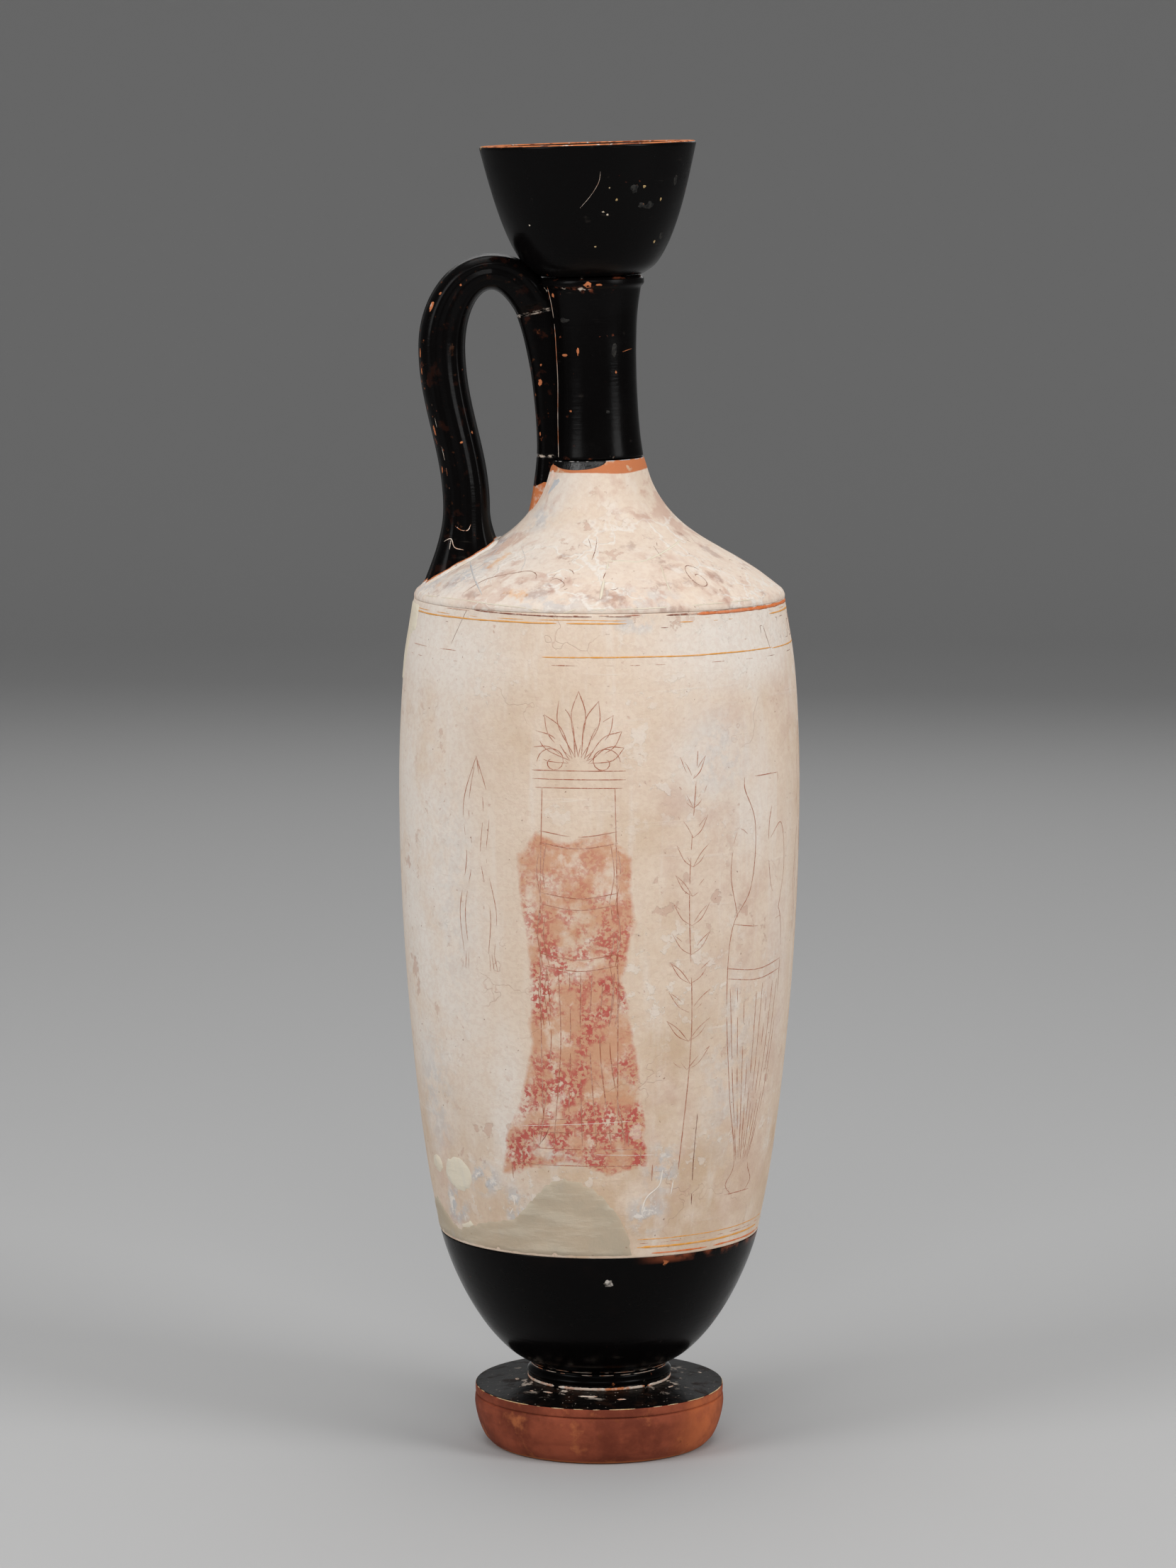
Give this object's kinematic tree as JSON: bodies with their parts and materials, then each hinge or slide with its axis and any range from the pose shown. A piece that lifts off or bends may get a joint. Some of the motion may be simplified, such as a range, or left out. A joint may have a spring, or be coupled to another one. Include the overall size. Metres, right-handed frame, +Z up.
{
  "type": "vase",
  "caption": "Tall slender oil flask of fired clay with a flat sloping shoulder, narrow neck, deep flaring mouth, one strap handle and a disc foot.",
  "frame": {"origin": "centre of the plane that the foot rests on", "axes": "+Z up the body's axis, front of the painted wall towards -Y, handle towards -X"},
  "size_m": [0.1194, 0.1194, 0.3909],
  "materials": {
    "black_gloss": "black slip gloss with small chips",
    "white_ground": "matt cream slip, worn and stained",
    "red_wash": "satin red-brown wash over clay",
    "bare_clay": "matt orange clay",
    "plaster": "matt toned plaster"
  },
  "bodies": {
    "root": {"foot_disc": "red_wash", "fillet_ring": "black_gloss", "lower_body": "black_gloss", "body_wall": "white_ground", "shoulder": "white_ground", "neck": "black_gloss", "mouth": "black_gloss", "handle": "black_gloss", "handle_tongue": "black_gloss", "oil_cup": "bare_clay", "front_fill": "plaster", "upper_fill": "plaster", "large_plug": "plaster", "small_plug": "plaster"}
  },
  "joints": []
}
